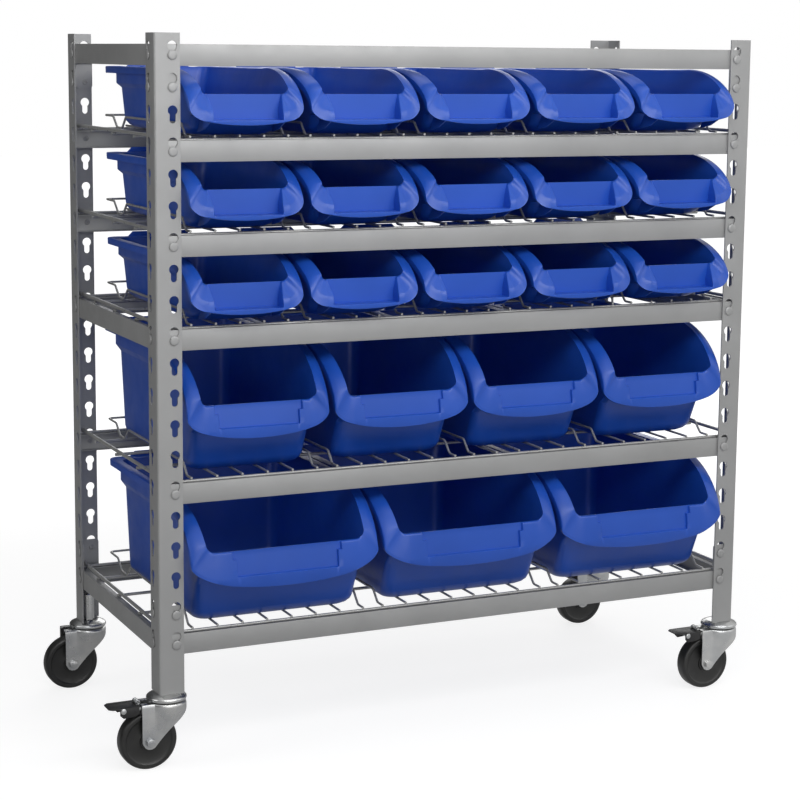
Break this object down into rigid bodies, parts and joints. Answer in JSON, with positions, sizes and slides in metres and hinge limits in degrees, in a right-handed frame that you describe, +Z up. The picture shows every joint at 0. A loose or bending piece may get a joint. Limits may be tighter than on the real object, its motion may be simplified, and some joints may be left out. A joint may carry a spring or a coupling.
{
  "type": "mobile bin cart",
  "caption": "Mobile bin cart: keyhole-post steel frame on four swivel casters, wire decks, and open-front blue plastic bins that slide out",
  "frame": {"origin": "on the floor under the centre of the bounding box, casters trailing to -X", "axes": "+Z up, -Y the open front that the bins face, +X to the right of someone in front of the cart"},
  "size_m": [0.997, 0.447, 0.98],
  "materials": {
    "grey_paint": "satin grey powder coat",
    "grey_wire": "satin grey coated wire",
    "blue_plastic": "moulded polypropylene, soft gloss",
    "zinc": "bright zinc plate on pressed steel",
    "tyre": "dark hard rubber",
    "black_steel": "black pressed steel"
  },
  "bodies": {
    "frame": {"beam_front_1": "grey_paint", "beam_front_2": "grey_paint", "beam_front_3": "grey_paint", "beam_front_4": "grey_paint", "beam_front_5": "grey_paint", "beam_front_6": "grey_paint", "beam_left_1": "grey_paint", "beam_left_4": "grey_paint", "beam_left_6": "grey_paint", "beam_rear_1": "grey_paint", "beam_rear_2": "grey_paint", "beam_rear_3": "grey_paint", "beam_rear_4": "grey_paint", "beam_rear_5": "grey_paint", "beam_rear_6": "grey_paint", "beam_right_1": "grey_paint", "beam_right_4": "grey_paint", "beam_right_6": "grey_paint", "deck_1": "grey_wire", "deck_2": "grey_wire", "deck_3": "grey_wire", "deck_4": "grey_wire", "deck_5": "grey_wire", "post_front_left": "grey_paint", "post_front_right": "grey_paint", "post_rear_left": "grey_paint", "post_rear_right": "grey_paint"},
    "fork_front_left": {"fork_front_left": "zinc"},
    "wheel_front_left": {"wheel_front_left": "tyre"},
    "fork_front_right": {"fork_front_right": "zinc"},
    "wheel_front_right": {"wheel_front_right": "tyre"},
    "fork_rear_left": {"fork_rear_left": "zinc"},
    "wheel_rear_left": {"wheel_rear_left": "tyre"},
    "fork_rear_right": {"fork_rear_right": "zinc"},
    "wheel_rear_right": {"wheel_rear_right": "tyre"},
    "brake_pedal_front_left": {"brake_pedal_front_left": "black_steel"},
    "brake_pedal_front_right": {"brake_pedal_front_right": "black_steel"},
    "bin_large_01": {"bin_large_01": "blue_plastic"},
    "bin_large_02": {"bin_large_02": "blue_plastic"},
    "bin_large_03": {"bin_large_03": "blue_plastic"},
    "bin_medium_01": {"bin_medium_01": "blue_plastic"},
    "bin_medium_02": {"bin_medium_02": "blue_plastic"},
    "bin_medium_03": {"bin_medium_03": "blue_plastic"},
    "bin_medium_04": {"bin_medium_04": "blue_plastic"},
    "bin_small_01": {"bin_small_01": "blue_plastic"},
    "bin_small_02": {"bin_small_02": "blue_plastic"},
    "bin_small_03": {"bin_small_03": "blue_plastic"},
    "bin_small_04": {"bin_small_04": "blue_plastic"},
    "bin_small_05": {"bin_small_05": "blue_plastic"},
    "bin_small_06": {"bin_small_06": "blue_plastic"},
    "bin_small_07": {"bin_small_07": "blue_plastic"},
    "bin_small_08": {"bin_small_08": "blue_plastic"},
    "bin_small_09": {"bin_small_09": "blue_plastic"},
    "bin_small_10": {"bin_small_10": "blue_plastic"},
    "bin_small_11": {"bin_small_11": "blue_plastic"},
    "bin_small_12": {"bin_small_12": "blue_plastic"},
    "bin_small_13": {"bin_small_13": "blue_plastic"},
    "bin_small_14": {"bin_small_14": "blue_plastic"},
    "bin_small_15": {"bin_small_15": "blue_plastic"}
  },
  "joints": [
    {"name": "swivel_front_left", "type": "hinge", "parent": "frame", "child": "fork_front_left", "pos_m": [-0.4145, -0.1815, 0], "axis": [0, 0, 1], "continuous": true},
    {"name": "spin_front_left", "type": "hinge", "parent": "fork_front_left", "child": "wheel_front_left", "pos_m": [-0.4425, -0.1815, 0.04], "axis": [0, 1, 0], "continuous": true},
    {"name": "swivel_front_right", "type": "hinge", "parent": "frame", "child": "fork_front_right", "pos_m": [0.4715, -0.1815, 0], "axis": [0, 0, 1], "continuous": true},
    {"name": "spin_front_right", "type": "hinge", "parent": "fork_front_right", "child": "wheel_front_right", "pos_m": [0.4435, -0.1815, 0.04], "axis": [0, 1, 0], "continuous": true},
    {"name": "swivel_rear_left", "type": "hinge", "parent": "frame", "child": "fork_rear_left", "pos_m": [-0.4145, 0.1965, 0], "axis": [0, 0, 1], "continuous": true},
    {"name": "spin_rear_left", "type": "hinge", "parent": "fork_rear_left", "child": "wheel_rear_left", "pos_m": [-0.4425, 0.1965, 0.04], "axis": [0, 1, 0], "continuous": true},
    {"name": "swivel_rear_right", "type": "hinge", "parent": "frame", "child": "fork_rear_right", "pos_m": [0.4715, 0.1965, 0], "axis": [0, 0, 1], "continuous": true},
    {"name": "spin_rear_right", "type": "hinge", "parent": "fork_rear_right", "child": "wheel_rear_right", "pos_m": [0.4435, 0.1965, 0.04], "axis": [0, 1, 0], "continuous": true},
    {"name": "brake_front_left", "type": "hinge", "parent": "fork_front_left", "child": "brake_pedal_front_left", "pos_m": [-0.479, -0.1815, 0.0875], "axis": [0, -1, 0], "range_deg": [0, 15]},
    {"name": "brake_front_right", "type": "hinge", "parent": "fork_front_right", "child": "brake_pedal_front_right", "pos_m": [0.407, -0.1815, 0.0875], "axis": [0, -1, 0], "range_deg": [0, 15]},
    {"name": "slide_large_01", "type": "slide", "parent": "frame", "child": "bin_large_01", "axis": [0, -1, 0], "range_m": [0, 0.3]},
    {"name": "slide_large_02", "type": "slide", "parent": "frame", "child": "bin_large_02", "axis": [0, -1, 0], "range_m": [0, 0.3]},
    {"name": "slide_large_03", "type": "slide", "parent": "frame", "child": "bin_large_03", "axis": [0, -1, 0], "range_m": [0, 0.3]},
    {"name": "slide_medium_01", "type": "slide", "parent": "frame", "child": "bin_medium_01", "axis": [0, -1, 0], "range_m": [0, 0.3]},
    {"name": "slide_medium_02", "type": "slide", "parent": "frame", "child": "bin_medium_02", "axis": [0, -1, 0], "range_m": [0, 0.3]},
    {"name": "slide_medium_03", "type": "slide", "parent": "frame", "child": "bin_medium_03", "axis": [0, -1, 0], "range_m": [0, 0.3]},
    {"name": "slide_medium_04", "type": "slide", "parent": "frame", "child": "bin_medium_04", "axis": [0, -1, 0], "range_m": [0, 0.3]},
    {"name": "slide_small_01", "type": "slide", "parent": "frame", "child": "bin_small_01", "axis": [0, -1, 0], "range_m": [0, 0.3]},
    {"name": "slide_small_02", "type": "slide", "parent": "frame", "child": "bin_small_02", "axis": [0, -1, 0], "range_m": [0, 0.3]},
    {"name": "slide_small_03", "type": "slide", "parent": "frame", "child": "bin_small_03", "axis": [0, -1, 0], "range_m": [0, 0.3]},
    {"name": "slide_small_04", "type": "slide", "parent": "frame", "child": "bin_small_04", "axis": [0, -1, 0], "range_m": [0, 0.3]},
    {"name": "slide_small_05", "type": "slide", "parent": "frame", "child": "bin_small_05", "axis": [0, -1, 0], "range_m": [0, 0.3]},
    {"name": "slide_small_06", "type": "slide", "parent": "frame", "child": "bin_small_06", "axis": [0, -1, 0], "range_m": [0, 0.3]},
    {"name": "slide_small_07", "type": "slide", "parent": "frame", "child": "bin_small_07", "axis": [0, -1, 0], "range_m": [0, 0.3]},
    {"name": "slide_small_08", "type": "slide", "parent": "frame", "child": "bin_small_08", "axis": [0, -1, 0], "range_m": [0, 0.3]},
    {"name": "slide_small_09", "type": "slide", "parent": "frame", "child": "bin_small_09", "axis": [0, -1, 0], "range_m": [0, 0.3]},
    {"name": "slide_small_10", "type": "slide", "parent": "frame", "child": "bin_small_10", "axis": [0, -1, 0], "range_m": [0, 0.3]},
    {"name": "slide_small_11", "type": "slide", "parent": "frame", "child": "bin_small_11", "axis": [0, -1, 0], "range_m": [0, 0.3]},
    {"name": "slide_small_12", "type": "slide", "parent": "frame", "child": "bin_small_12", "axis": [0, -1, 0], "range_m": [0, 0.3]},
    {"name": "slide_small_13", "type": "slide", "parent": "frame", "child": "bin_small_13", "axis": [0, -1, 0], "range_m": [0, 0.3]},
    {"name": "slide_small_14", "type": "slide", "parent": "frame", "child": "bin_small_14", "axis": [0, -1, 0], "range_m": [0, 0.3]},
    {"name": "slide_small_15", "type": "slide", "parent": "frame", "child": "bin_small_15", "axis": [0, -1, 0], "range_m": [0, 0.3]}
  ]
}
